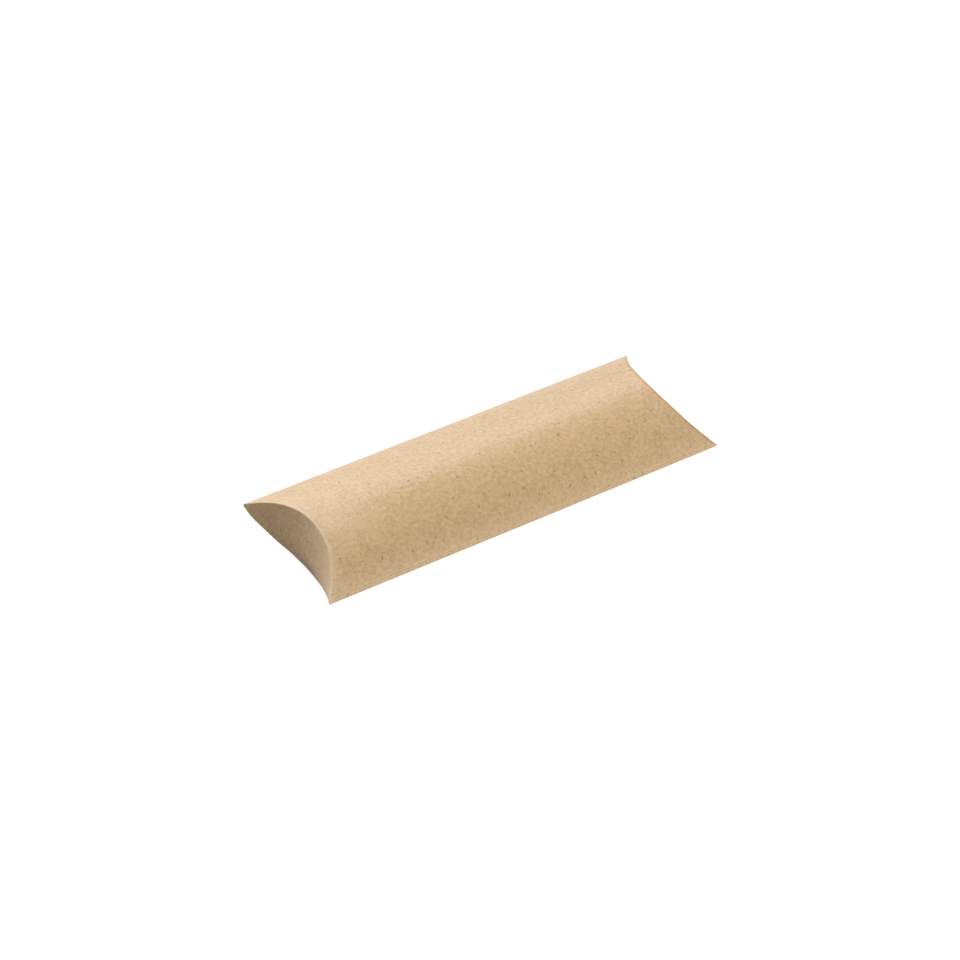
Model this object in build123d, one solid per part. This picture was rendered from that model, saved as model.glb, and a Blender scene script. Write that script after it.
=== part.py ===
from build123d import *
from math import atan2, hypot, sin, sqrt
import os

# Pillow box of plain kraft card, in millimetres: one blank, scored, folded and glued into a tube
# X runs along the box, Y across it and Z up
# The origin is on the table, under the middle of the box

# Driving dimensions: the overall size, and the card's thickness
box_length = 220.0
box_width = 70.0
box_height = 28.0
card = 0.45

# Long folds: outer radius, and how far in from the edge each fold reaches
fold_radius = 0.9
fold_reach = 1.0

# Curved creases: rounding of the outer corner, and how much each blunt tip is short of a sharp one
crease_radius = 0.22
tip_blunt = 0.6

# The narrow strip of the lower wall that the box settles on
rest_strip_width = 8.0

# Glue seam: the tab inside the lower wall and the adhesive under it
tab_width = 12.0
tab_end_gap = 2.5
tab_end_taper = 3.0
glue_thickness = 0.2
glue_margin = 2.5

# Room that a moving flap keeps: beside its neighbours at rest, and under the upper wall as it swings
flap_clearance = 0.15
swing_clearance = 0.3

# Half width of the inner flap, as a share of the box's, and steps along each half of its free edge
inner_flap_width_share = 0.86
free_edge_steps = 8

# Cuts run this far past what they cut
overrun = 5.0

# How near an edge's middle lies to a face to count as on it, as a share of the card's thickness
closeness_share = 0.01

half_length = box_length / 2
half_width = box_width / 2
tip_height = box_height / 2
fold_line = half_width - fold_reach
flap_half_width = fold_line - flap_clearance

# The walls' arcs meet in sharp edges, just outside the box's width, which the rounded folds come in to
edge_slope = 2 * atan2(tip_height, half_width)
sharp_half = half_width + fold_radius * (1 / sin(edge_slope) - 1)

# The upper wall is an arc through both sharp edges and the crown
wall_radius = (sharp_half**2 + tip_height**2) / (2 * tip_height)
upper_centre = box_height - wall_radius

# The lower wall is an arc through both sharp edges and both edges of the rest strip
rest_half = rest_strip_width / 2
lower_centre = (sharp_half**2 + tip_height**2 - rest_half**2) / (2 * tip_height)
lower_radius = hypot(rest_half, lower_centre)

# Each end wall stands upright and has the upper wall's arc in plan
# So the crease between them lies in a plane at 45 degrees, as a fold between equal curves does
end_crown = half_length + tip_blunt - tip_height
end_centre = end_crown + wall_radius

# Depths of the two flaps behind the end wall's outer face
outer_flap_back = card
inner_flap_front = outer_flap_back + flap_clearance
inner_flap_back = inner_flap_front + card

# The inner flap's hinge line lies at the crown of its crease, on the inside of the fold
inner_hinge_height = card

# The glue tab lies inside the lower wall, on the adhesive
tab_depth = card + glue_thickness
tab_edge = half_width - tab_width


def lens(upper_depth, lower_depth):
    """Section across the box: the space between its two walls, each face moved in by its depth."""
    upper = Pos(0, upper_centre) * Circle(wall_radius - upper_depth)
    lower = Pos(0, lower_centre) * Circle(lower_radius - lower_depth)
    above_rest = Rectangle(2 * sharp_half, box_height, align=(Align.CENTER, Align.MIN))
    return upper & lower & (Pos(0, lower_depth) * above_rest)


def rounded(section, side, radius):
    """The section with its tip on one side, -1 or 1, rounded."""
    tips = section.vertices().sort_by(Axis.X)
    return fillet(tips[0] if side < 0 else tips[-1], radius)


def strip(y_low, y_high):
    """The part of a section between two distances across the box."""
    tall = Rectangle(y_high - y_low, box_height + 2 * overrun)
    return Pos((y_low + y_high) / 2, tip_height) * tall


def along(section, half=half_length):
    """A section across the box, drawn out along it both ways from the middle."""
    return extrude(Plane.YZ * section, amount=half, both=True)


def end_post(side, depth):
    """Upright round post that hollows out one end, grown to a depth behind the end wall's face."""
    post = Cylinder(wall_radius + depth, box_height + 2 * overrun)
    return Pos(side * end_centre, 0, tip_height) * post


def end_wall(side, front, back):
    """Upright curved wall across one end, between two depths behind its outer face."""
    return end_post(side, back) - end_post(side, front)


def trimmed(solid, depth):
    """The solid with both its ends cut to the end walls' arc, at a depth behind their faces."""
    return solid - end_post(-1, depth) - end_post(1, depth)


def outer_corner(bar, side):
    """The long edge of a crease, where the upper wall's face meets the outer face of the end wall."""
    near = card * closeness_share
    for edge in bar.edges():
        point = edge @ 0.5
        on_wall = abs(hypot(point.Y, point.Z - upper_centre) - wall_radius) < near
        on_end = abs(hypot(point.X - side * end_centre, point.Y) - wall_radius) < near
        if on_wall and on_end and edge.length > half_width:
            return edge


def top_panel():
    """Upper wall, from fold to fold, its ends just short of the creases that swing with the flaps."""
    section = (lens(0, 0) - lens(card, 0)) & strip(-fold_line, fold_line)
    return trimmed(along(section), inner_flap_front)


def bottom_panel():
    """Lower wall, from the front fold to its cut edge, which lies under the seam fold."""
    section = (lens(0, 0) - lens(0, card)) & strip(-fold_line, half_width)
    return trimmed(along(section), inner_flap_back)


def front_fold():
    """Long fold that joins the two walls: a blunt V in section."""
    outside = rounded(lens(0, 0), -1, fold_radius)
    inside = rounded(lens(card, card), -1, fold_radius - card)
    return trimmed(along((outside - inside) & strip(-sharp_half, -fold_line)), 0)


def seam_fold():
    """Long fold that joins the upper wall to its glue tab, over the lower wall's cut edge."""
    outside = rounded(lens(0, tab_depth), 1, fold_radius)
    inside = rounded(lens(card, tab_depth + card), 1, fold_radius - card)
    return trimmed(along((outside - inside) & strip(fold_line, half_width)), 0)


def glue_tab():
    """Tab that closes the tube. Its ends taper, so that the inner flaps swing past them."""
    section = (lens(0, tab_depth) - lens(0, tab_depth + card)) & strip(tab_edge, fold_line)
    root_half = half_length - tab_end_gap
    edge_half = end_centre - sqrt(wall_radius**2 - tab_edge**2) - tab_end_taper
    outline = [
        (-root_half, fold_line),
        (-edge_half, tab_edge),
        (edge_half, tab_edge),
        (root_half, fold_line),
    ]
    return along(section) & extrude(make_face(Polyline(*outline, close=True)), amount=box_height)


def glue_line():
    """Strip of adhesive between the tab and the lower wall."""
    section = (lens(0, card) - lens(0, tab_depth)) & strip(tab_edge + glue_margin, fold_line - glue_margin)
    return along(section, end_crown - tab_end_taper)


def upper_crease(side):
    """Scored hinge of an outer flap: a thin bent bar along the curved fold, its corner rounded."""
    section = (lens(0, 0) - lens(card, 0)) & strip(-flap_half_width, flap_half_width)
    bar = along(section) & end_wall(side, 0, outer_flap_back)
    return fillet(outer_corner(bar, side), crease_radius)


def outer_flap(side):
    """Outer end flap. It hangs from its crease and stops just above the lower crease."""
    section = lens(card, card + flap_clearance) & strip(-flap_half_width, flap_half_width)
    return along(section) & end_wall(side, 0, outer_flap_back)


def lower_crease(side):
    """Scored hinge of an inner flap, as deep as both flaps, so that the outer one stands on its line."""
    section = (lens(0, 0) - lens(0, card)) & strip(-fold_line, fold_line)
    return along(section) & end_wall(side, 0, inner_flap_back)


def free_edge_height(y):
    """Height of the inner flap's free edge. Swung to any angle, it clears the upper wall above it."""
    under_wall = upper_centre + sqrt((wall_radius - card) ** 2 - y**2)
    headroom = under_wall - swing_clearance - inner_hinge_height
    front_radius = wall_radius + inner_flap_front
    reach = wall_radius + inner_flap_back - sqrt(front_radius**2 - y**2)
    return inner_hinge_height + sqrt(headroom**2 - reach**2)


def inner_flap(side):
    """Inner end flap, hinged on the lower wall, behind the outer one."""
    half = half_width * inner_flap_width_share
    steps = range(-free_edge_steps, free_edge_steps + 1)
    across = [half * step / free_edge_steps for step in steps]
    free_edge = Spline(*[(y, free_edge_height(y)) for y in across])
    sides = Polyline(free_edge @ 0, (-half, 0), (half, 0), free_edge @ 1)
    section = make_face([free_edge, sides]) & lens(card, card + flap_clearance)
    return along(section) & end_wall(side, inner_flap_front, inner_flap_back)


pieces = {
    "top_panel": top_panel(),
    "bottom_panel": bottom_panel(),
    "front_fold": front_fold(),
    "seam_fold": seam_fold(),
    "glue_tab": glue_tab(),
    "glue_line": glue_line(),
}
for end_name, end_side in (("left", -1), ("right", 1)):
    pieces[end_name + "_upper_crease"] = upper_crease(end_side)
    pieces[end_name + "_outer_flap"] = outer_flap(end_side)
    pieces[end_name + "_lower_crease"] = lower_crease(end_side)
    pieces[end_name + "_inner_flap"] = inner_flap(end_side)

os.makedirs("parts", exist_ok=True)
for name, piece in pieces.items():
    export_step(piece, "parts/" + name + ".step")
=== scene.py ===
"""Looks of a pillow box of plain kraft card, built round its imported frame.

The box is one blank that is scored, folded and glued into a tube, and each end is closed by two curved flaps. Lengths
are in metres: X runs along the box, Y across it and Z up. Every stretch of card is worked out as two grids of points,
its outer and its inner face, and it shares its borders with the stretches beside it.
"""

import logging
import math
from collections.abc import Iterator, Sequence
from dataclasses import dataclass, replace
from enum import Enum
from typing import Any

import bpy
import numpy as np
from mathutils import Matrix, Vector


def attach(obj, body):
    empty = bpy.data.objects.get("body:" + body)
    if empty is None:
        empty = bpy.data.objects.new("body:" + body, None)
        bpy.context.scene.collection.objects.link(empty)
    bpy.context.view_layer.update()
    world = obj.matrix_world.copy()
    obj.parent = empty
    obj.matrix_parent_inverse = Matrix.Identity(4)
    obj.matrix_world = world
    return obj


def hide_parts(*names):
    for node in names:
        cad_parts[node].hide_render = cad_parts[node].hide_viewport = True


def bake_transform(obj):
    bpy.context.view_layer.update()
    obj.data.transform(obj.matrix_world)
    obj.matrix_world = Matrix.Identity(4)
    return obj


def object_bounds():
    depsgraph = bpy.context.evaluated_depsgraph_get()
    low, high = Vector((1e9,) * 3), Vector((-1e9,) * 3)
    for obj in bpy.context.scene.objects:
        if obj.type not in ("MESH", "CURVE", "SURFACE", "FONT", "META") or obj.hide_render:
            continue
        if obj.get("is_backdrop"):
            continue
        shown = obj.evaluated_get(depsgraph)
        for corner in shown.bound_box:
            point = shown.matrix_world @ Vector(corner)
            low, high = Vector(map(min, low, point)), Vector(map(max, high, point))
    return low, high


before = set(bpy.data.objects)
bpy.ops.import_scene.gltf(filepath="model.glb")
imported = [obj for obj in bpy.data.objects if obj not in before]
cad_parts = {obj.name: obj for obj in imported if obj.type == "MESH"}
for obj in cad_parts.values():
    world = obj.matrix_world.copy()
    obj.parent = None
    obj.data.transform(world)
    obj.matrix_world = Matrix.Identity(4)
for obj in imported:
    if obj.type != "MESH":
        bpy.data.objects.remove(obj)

LOG = logging.getLogger("pillow_box")
MM = 0.001
SHARP_ANGLE = math.radians(50)

Grid = np.ndarray
Colour = tuple[float, float, float]
WHITE: Colour = (1.0, 1.0, 1.0)
COOL: Colour = (0.97, 0.99, 1.06)
WARM: Colour = (1.0, 0.99, 0.94)

# What the painted shade leaves of the card's colour
PAINTED_SHADE: Colour = (0.42, 0.4, 0.6)

# How far a cut edge's rounded corner lies from the edge at each of its points, in radii
CORNER = np.array([1.0, 0.3, 0.0])

# How many points a fold's rounded corner is drawn with
CURVE_STEPS = 9


class End(Enum):
    """The two ends of the box, with the sign of X there."""

    LEFT = -1
    RIGHT = 1

    @property
    def label(self) -> str:
        """The word that the names of this end's pieces start with."""
        return self.name.lower()


class Edge(Enum):
    """The two long edges of the box, with the sign of Y there."""

    FRONT = -1
    BACK = 1


class Surface(Enum):
    """The kinds of face on a stretch of card, with the material index of each."""

    OUTER = 0
    INNER = 1
    CUT = 2


class Shade(Enum):
    """The colours that a fibre can take, with the card group's input for each."""

    FLECK = "Fleck"
    PALE = "Pale"


def eased(share: Grid) -> Grid:
    """A smooth step: 3 s squared less 2 s cubed, with s held between 0 and 1."""
    held = np.clip(share, 0.0, 1.0)
    return held * held * (3.0 - 2.0 * held)


def levelled(places: Grid, knots: Sequence[tuple[float, float]]) -> Grid:
    """A curve through knots, each a place and a value, with a smooth step from every knot to the next."""
    at, values = np.array(knots).T
    step = np.interp(places, at, np.arange(len(at)))
    before = np.minimum(step.astype(int), len(at) - 2)
    return values[before] + (values[before + 1] - values[before]) * eased(step - before)


def closeness(distance: Grid, reach: float) -> Grid:
    """How near something is: 1 at no distance, a half at the reach, and fading as one over its square."""
    return 1.0 / (1.0 + (distance / reach) ** 2)


def as_points(*parts: Grid | float) -> Grid:
    """Coordinates over one grid, side by side as its points."""
    return np.stack(np.broadcast_arrays(*parts), axis=-1)


def run_of(path: Grid) -> Grid:
    """Length of a path from its start to each of its points."""
    return np.concatenate([[0.0], np.cumsum(np.linalg.norm(np.diff(path, axis=0), axis=1))])


def direction(azimuth: float, elevation: float) -> Vector:
    """The way to a place at two angles in degrees: azimuth 0 is towards -Y and 90 towards +X."""
    turn, rise = math.radians(azimuth), math.radians(elevation)
    return Vector((math.sin(turn) * math.cos(rise), -math.cos(turn) * math.cos(rise), math.sin(rise)))


def new_object(name: str, data: bpy.types.ID) -> bpy.types.Object:
    """A new object of the scene."""
    made = bpy.data.objects.new(name, data)
    bpy.context.scene.collection.objects.link(made)
    return made


def rounded_end(values: Grid, radius: float) -> tuple[Grid, Grid]:
    """Crowds a row of places towards a cut edge at its end, so that the edge's corner can be rounded.

    The last places lie one radius, three tenths of it and nothing from the edge, and the face sinks there by none,
    three tenths and all of the radius, which is an eighth of a circle twice over.

    Args:
        values: places that rise to the cut edge.
        radius: radius of the rounded corner.

    Returns:
        The places, two more of them, and how far the face sinks at each.
    """
    near = radius * CORNER
    inner = values[:-1]
    last = values[-1]
    places = np.concatenate([inner + (inner - values[0]) * (-radius / (last - values[0])), last - near])
    sinks = np.concatenate([np.zeros(len(inner)), radius - near])
    return places, sinks


def rounded_path(ends: Sequence[tuple[float, float]], radius: float, steps: int) -> Grid:
    """A path of two straight legs with a rounded corner, as points that are evenly spaced.

    The corner c becomes the curve (1-t)^2 a + 2t(1-t) c + t^2 b, where a and b lie on the legs, one radius away.

    Args:
        ends: the path's start, its corner and its end.
        radius: the length that the curve takes off each leg.
        steps: how many points to return.

    Returns:
        An array of points, two numbers each.
    """
    first, corner, last = np.array(ends, float)
    a, b = (corner + (end - corner) * (radius / np.linalg.norm(end - corner)) for end in (first, last))
    t = np.linspace(0.0, 1.0, CURVE_STEPS)[:, None]
    path = np.concatenate([[first], (1 - t) ** 2 * a + 2 * t * (1 - t) * corner + t**2 * b, [last]])
    run = run_of(path)
    even = np.linspace(0.0, run[-1], steps)
    return as_points(np.interp(even, run, path[:, 0]), np.interp(even, run, path[:, 1]))


@dataclass(frozen=True)
class Tip:
    """How one of the four tips differs from the others, as tips of folded card do.

    Attributes:
        reach: how much further out it ends than its end wall's arc.
        start: how far across the box the difference starts.
        levels: 1 if it levels off at the tip, 0 if it grows as a square all the way.
    """

    reach: float
    start: float
    levels: float = 1.0


@dataclass(frozen=True)
class BoxShape:
    """The curves that every panel and flap follows.

    In section the upper wall is an arc, and the lower wall is an arc cut flat where the box rests. In plan each end
    wall has the upper wall's arc, so the crease between them is a plane curve at 45 degrees.

    Attributes:
        length: length of the box.
        width: its width.
        height: its height.
        card: thickness of the card.
        fold_radius: outer radius of the long folds.
        fold_reach: how far in from the box's width they reach.
        tip_blunt: how much each blunt tip is short of a sharp one.
        rest_strip: width of the flat strip that the lower wall rests on.
        rest_softness: how softly the wall eases onto it.
        glue: thickness of the glue.
        left_tips: how the left tips differ, the front one first.
        right_tips: the same at the right end.
        fold_wear: how much the long folds are worn.
        wear_reach: how far wear reaches from a crease or a fold.
        left_wear: how much further it reaches where the left upper crease is pressed wide.
        flap_fade: how much faster it fades down a flap than along a wall, by a tight crease and by a wide one.
        pressed_rise: share of the half width over which the left upper crease widens, from the middle to the front.
        pressed_fall: share over which it narrows again, up to the tip.
        painted_highlight_strength: how strongly a highlight is painted on the crown near the left end, as paler card.
        painted_highlight_place: where the painted highlight is strongest, along the box and across it.
        painted_highlight_spread: how far the painted highlight spreads from there.
    """

    length: float
    width: float
    height: float
    card: float = 0.45 * MM
    fold_radius: float = 0.9 * MM
    fold_reach: float = 1.0 * MM
    tip_blunt: float = 0.6 * MM
    rest_strip: float = 8.0 * MM
    rest_softness: float = 0.12 * MM
    glue: float = 0.2 * MM
    left_tips: tuple[Tip, Tip] = (Tip(0.0, 29.0 * MM), Tip(-2.3 * MM, 28.0 * MM, 0.0))
    right_tips: tuple[Tip, Tip] = (Tip(0.8 * MM, 24.0 * MM), Tip(1.9 * MM, 19.5 * MM))
    fold_wear: float = 0.1
    wear_reach: float = 0.6 * MM
    left_wear: float = 0.9 * MM
    flap_fade: tuple[float, float] = (2.5, 1.0)
    pressed_rise: float = 0.8
    pressed_fall: float = 0.15
    painted_highlight_strength: float = 0.32
    painted_highlight_place: tuple[float, float] = (-88.0 * MM, -7.0 * MM)
    painted_highlight_spread: tuple[float, float] = (19.0 * MM, 10.0 * MM)

    @property
    def half_length(self) -> float:
        """Half of the box's length."""
        return self.length / 2

    @property
    def half_width(self) -> float:
        """Half of the box's width."""
        return self.width / 2

    @property
    def tip_height(self) -> float:
        """Height of the long edges and the tips."""
        return self.height / 2

    @property
    def fold_line(self) -> float:
        """How far across the walls reach, where the long folds begin."""
        return self.half_width - self.fold_reach

    @property
    def sharp_half(self) -> float:
        """Half of the width between the edges in which the walls' arcs would meet."""
        slope = 2 * math.atan2(self.tip_height, self.half_width)
        return self.half_width + self.fold_radius * (1 / math.sin(slope) - 1)

    @property
    def wall_radius(self) -> float:
        """Radius of the arc through both sharp edges and the crown."""
        return (self.sharp_half**2 + self.tip_height**2) / (2 * self.tip_height)

    @property
    def upper_centre(self) -> float:
        """Height of the middle of the upper wall's arc."""
        return self.height - self.wall_radius

    @property
    def lower_centre(self) -> float:
        """Height of the middle of the lower wall's arc, which passes through both edges of the rest strip."""
        rest_half = self.rest_strip / 2
        return (self.sharp_half**2 + self.tip_height**2 - rest_half**2) / (2 * self.tip_height)

    @property
    def lower_radius(self) -> float:
        """Radius of the lower wall's arc."""
        return math.hypot(self.rest_strip / 2, self.lower_centre)

    @property
    def end_centre(self) -> float:
        """How far along the middle of an end wall's arc lies."""
        return self.half_length + self.tip_blunt - self.tip_height + self.wall_radius

    @property
    def half_girth(self) -> float:
        """Length of card from the crown to a long edge."""
        return self.wall_radius * math.asin(self.sharp_half / self.wall_radius)

    def upper(self, across: Grid, depth: Grid | float = 0.0) -> Grid:
        """Height of the upper wall, at a depth under its outer face: its centre plus root (radius^2 - across^2)."""
        return self.upper_centre + np.sqrt((self.wall_radius - depth) ** 2 - across**2)

    def upper_depth(self, across: Grid, height: Grid) -> Grid:
        """Depth under the upper wall's outer face of a place across the box."""
        return self.wall_radius - np.hypot(across, height - self.upper_centre)

    def lower(self, across: Grid, depth: Grid | float = 0.0) -> Grid:
        """Height of the lower wall, at a depth inside its outer face: its arc, eased onto the flat rest strip.

        With a for the arc's height over the strip, it is half of a plus root (a^2 + softness^2), over the depth.
        """
        arc = self.lower_centre - np.sqrt((self.lower_radius - depth) ** 2 - across**2) - depth
        return depth + (arc + np.hypot(arc, self.rest_softness)) / 2

    def end(self, end: End, across: Grid, depth: Grid | float = 0.0) -> Grid:
        """How far out an end wall lies, at a depth behind its face: centre less root (radius^2 - across^2).

        Towards each tip, front or back, the tip's own reach comes in, by s^2 (1 + 2 levels (1 - s)) of it.

        Args:
            end: which end wall.
            across: places across the box.
            depth: depth behind the wall's outer face.

        Returns:
            Distances from the box's middle.
        """
        arc = self.end_centre - np.sqrt((self.wall_radius + depth) ** 2 - across**2)
        tips = self.left_tips if end is End.LEFT else self.right_tips
        for edge, tip in zip(Edge, tips):
            share = np.clip((edge.value * across - tip.start) / (self.half_width - tip.start), 0.0, 1.0)
            arc = arc + tip.reach * share**2 * (1 + 2 * tip.levels * (1 - share))
        return arc

    def end_at(self, end: End, across: float) -> float:
        """How far out an end wall's face lies, at one place across the box."""
        return self.end(end, np.array(across)).item()

    def between_ends(self, rows: int, across: Grid, depth: Grid | float = 0.0) -> Grid:
        """Places along the box, evenly spaced from the left end wall to the right one, one row for each."""
        left = -self.end(End.LEFT, across, depth)
        right = self.end(End.RIGHT, across, depth)
        return left + (right - left) * np.linspace(0.0, 1.0, rows)[:, None]

    def creased(self, end: End, across: Grid, behind: Grid | float, under: Grid | float = 0.0) -> Grid:
        """How much card is crushed near an end's upper crease, less far down the flap than along the wall.

        At the left end the crease was pressed wider towards the front, and the wear reaches further on both sides. On
        the right upper crease its finish turns this into painted shade.

        Args:
            end: which end.
            across: places across the box.
            behind: distance behind the end wall's face.
            under: distance under the upper wall's face.

        Returns:
            1 on the crease, and less away from it.
        """
        wide = self.pressed(end, across)
        fade = self.flap_fade[0] + (self.flap_fade[1] - self.flap_fade[0]) * wide
        return closeness(behind + fade * under, self.wear_reach + self.left_wear * wide)

    def pressed(self, end: End, across: Grid) -> Grid:
        """How wide an upper crease was pressed: 0 all along the right one, and rising to the front of the left one."""
        widening = eased(-across / (self.pressed_rise * self.half_width))
        narrowing = eased((self.half_width + across) / (self.pressed_fall * self.half_width))
        return widening * narrowing if end is End.LEFT else np.zeros_like(across)

    def handled(self, along: Grid, across: Grid, girth: Grid) -> Grid:
        """How much a tube's card is crushed: fully at both creases, and a little at the long folds.

        Args:
            along: places along the box.
            across: places across it.
            girth: length of card from the crown, or from the middle of the lower wall.

        Returns:
            From 0 to 1 at each place.
        """
        fold = self.fold_wear * closeness(self.half_girth - np.abs(girth), self.wear_reach)
        left = self.creased(End.LEFT, across, self.end(End.LEFT, across) + along)
        right = self.creased(End.RIGHT, across, self.end(End.RIGHT, across) - along)
        return np.maximum(fold, np.maximum(left, right))

    def painted_highlight(self, along: Grid, across: Grid) -> Grid:
        """How much highlight is painted on the crown near the left end, as paler card: a bell round one place."""
        place, spread = self.painted_highlight_place, self.painted_highlight_spread
        away = ((along - place[0]) / spread[0]) ** 2 + ((across - place[1]) / spread[1]) ** 2
        return self.painted_highlight_strength * np.exp(-away)

    def girth(self, across: Grid) -> Grid:
        """Length of card from the crown to a place across the box: radius times the angle there."""
        return self.wall_radius * np.arcsin(across / self.wall_radius)

    def stations(self, limit: float, count: int) -> Grid:
        """Places across the box, evenly spaced round the upper wall's arc, from minus to plus a limit."""
        turn = math.asin(limit / self.wall_radius)
        return self.wall_radius * np.sin(np.linspace(-turn, turn, count))


@dataclass
class Sheet:
    """A stretch of card as two grids of points, with what its materials need to know of each point.

    Attributes:
        outer: points of the outer face, rows by columns by three.
        inner: points of the inner face, in the same order.
        blank: where each point lies on the flat blank, rows by columns by two, in metres.
        wear: how much each point is crushed, with a painted highlight near the left end and painted shade on the dark
            creases, from 0 to 1, rows by columns.
        soil: how much painted shade darkens each point, from 0 to 1, rows by columns.
    """

    outer: Grid
    inner: Grid
    blank: Grid
    wear: Grid
    soil: Grid | None = None

    def at(self, end: End) -> "Sheet":
        """The stretch, worked out as if for the right end, at either end."""
        turned = np.array([end.value, 1.0, 1.0])
        return replace(self, outer=self.outer * turned, inner=self.inner * turned, blank=self.blank * turned[:2])

    def faces(self) -> tuple[Grid, Grid]:
        """Corners and kinds of the quads that close the stretch all round.

        Each row of the two grids makes one loop, out along the outer face and back along the inner one. Quads join
        neighbouring loops, and the first and last loops are closed by quads between their two halves.

        Returns:
            Four vertex numbers for each quad, and the material index of each.
        """
        rows, columns = self.wear.shape
        loop = 2 * columns
        index = np.arange(rows * loop).reshape(rows, loop)
        after = np.roll(index, -1, axis=1)
        around = np.stack([index[:-1], after[:-1], after[1:], index[1:]], axis=-1).reshape(-1, 4)
        kinds = np.full(loop, Surface.CUT.value)
        kinds[: columns - 1] = Surface.OUTER.value
        kinds[columns:-1] = Surface.INNER.value
        mate = index[:, ::-1][:, :columns]
        own = index[:, :columns]
        first = np.stack([own[0, 1:], own[0, :-1], mate[0, :-1], mate[0, 1:]], axis=-1)
        last = np.stack([own[-1, :-1], own[-1, 1:], mate[-1, 1:], mate[-1, :-1]], axis=-1)
        cuts = np.full(2 * (columns - 1), Surface.CUT.value)
        return np.concatenate([around, first, last]), np.concatenate([np.tile(kinds, rows - 1), cuts])

    def mesh(self, name: str) -> bpy.types.Mesh:
        """Makes the stretch a closed mesh, with its faces pointing outwards.

        The sum of a . (b x c) over all triangles is six times the volume, so a negative sum shows a mesh that is
        inside out.

        Args:
            name: name of the mesh.

        Returns:
            The mesh, with the attributes blank, wear and soil on its points; wear also carries a painted highlight,
            and soil painted shade.
        """
        points = np.concatenate([self.outer, self.inner[:, ::-1]], axis=1).reshape(-1, 3)
        blank = np.concatenate([self.blank, self.blank[:, ::-1]], axis=1).reshape(-1, 2)
        soil = np.zeros_like(self.wear) if self.soil is None else self.soil
        quads, kinds = self.faces()
        a, b, c, d = (points[quads[:, corner]] for corner in range(4))
        if np.sum(a * np.cross(b, c)) + np.sum(a * np.cross(c, d)) < 0:
            quads = quads[:, ::-1]
        mesh = bpy.data.meshes.new(name)
        mesh.from_pydata(points.tolist(), [], quads.tolist())
        mesh.polygons.foreach_set("material_index", kinds.astype(np.int32))
        plane = mesh.attributes.new("blank", "FLOAT_VECTOR", "POINT")
        plane.data.foreach_set("vector", np.pad(blank, ((0, 0), (0, 1))).astype(np.float32).ravel())
        for label, values in (("wear", self.wear), ("soil", soil)):
            both = np.concatenate([values, values[:, ::-1]], axis=1).ravel()
            mesh.attributes.new(label, "FLOAT", "POINT").data.foreach_set("value", both.astype(np.float32))
        mesh.shade_smooth()
        mesh.set_sharp_from_angle(angle=SHARP_ANGLE)
        mesh.validate()
        mesh.update()
        return mesh


class Wiring:
    """Adds nodes to one tree and links them, so that a finish reads as a list of steps."""

    def __init__(self, tree: bpy.types.NodeTree) -> None:
        """Takes the tree that the nodes go into."""
        self.tree = tree

    @classmethod
    def of(cls, owner: bpy.types.Material | bpy.types.World) -> "Wiring":
        """Empties the node tree of a material or a world, and wires it."""
        owner.use_nodes = True
        owner.node_tree.nodes.clear()
        return cls(owner.node_tree)

    def add(self, kind: str, inputs: dict[str | int, Any] | None = None, **settings: Any) -> bpy.types.Node:
        """Adds one node.

        Args:
            kind: the node's type.
            inputs: a socket to link, or a value to set, for each input by its name or number.
            **settings: the node's own settings.

        Returns:
            The node.
        """
        node = self.tree.nodes.new(kind)
        for name, value in settings.items():
            setattr(node, name, value)
        for name, value in (inputs or {}).items():
            if isinstance(value, bpy.types.NodeSocket):
                self.tree.links.new(value, node.inputs[name])
            else:
                node.inputs[name].default_value = value
        return node

    def math(self, operation: str, *values: Any, clamp: bool = False) -> bpy.types.NodeSocket:
        """The result of a Math node on up to three sockets or numbers."""
        node = self.add("ShaderNodeMath", dict(enumerate(values)), operation=operation, use_clamp=clamp)
        return node.outputs[0]

    def vector(self, operation: str, *values: Any) -> bpy.types.NodeSocket:
        """The vector that a Vector Math node makes of sockets or triples."""
        return self.add("ShaderNodeVectorMath", dict(enumerate(values)), operation=operation).outputs[0]

    def scaled(self, vector: Any, factor: Any) -> bpy.types.NodeSocket:
        """A vector or colour times a number."""
        return self.add("ShaderNodeVectorMath", {0: vector, "Scale": factor}, operation="SCALE").outputs[0]

    def mixed(self, factor: Any, first: Any, second: Any) -> bpy.types.NodeSocket:
        """A colour between two, by a factor from 0 to 1."""
        return self.add("ShaderNodeMix", {0: factor, 6: first, 7: second}, data_type="RGBA").outputs[2]

    def noise(self, place: Any, scale: float, detail: float = 2.0) -> bpy.types.NodeSocket:
        """Smooth noise from about 0 to 1."""
        inputs = {"Vector": place, "Scale": scale, "Detail": detail}
        return self.add("ShaderNodeTexNoise", inputs).outputs[0]

    def surface(self, colour: Any, roughness: Any, height: Any, relief: float, shine: float = 0.5) -> None:
        """Ends a material in its shader.

        Args:
            colour: the base colour.
            roughness: the roughness.
            height: height of the relief, from about 0 to 1.
            relief: depth of the relief, in metres.
            shine: how strongly the surface reflects.
        """
        bump = self.add("ShaderNodeBump", {"Height": height, "Distance": relief, "Strength": 1.0})
        inputs = {"Base Color": colour, "Roughness": roughness, "Normal": bump.outputs[0], "Specular IOR Level": shine}
        shader = self.add("ShaderNodeBsdfPrincipled", inputs)
        self.add("ShaderNodeOutputMaterial", {"Surface": shader.outputs[0]})


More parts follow.
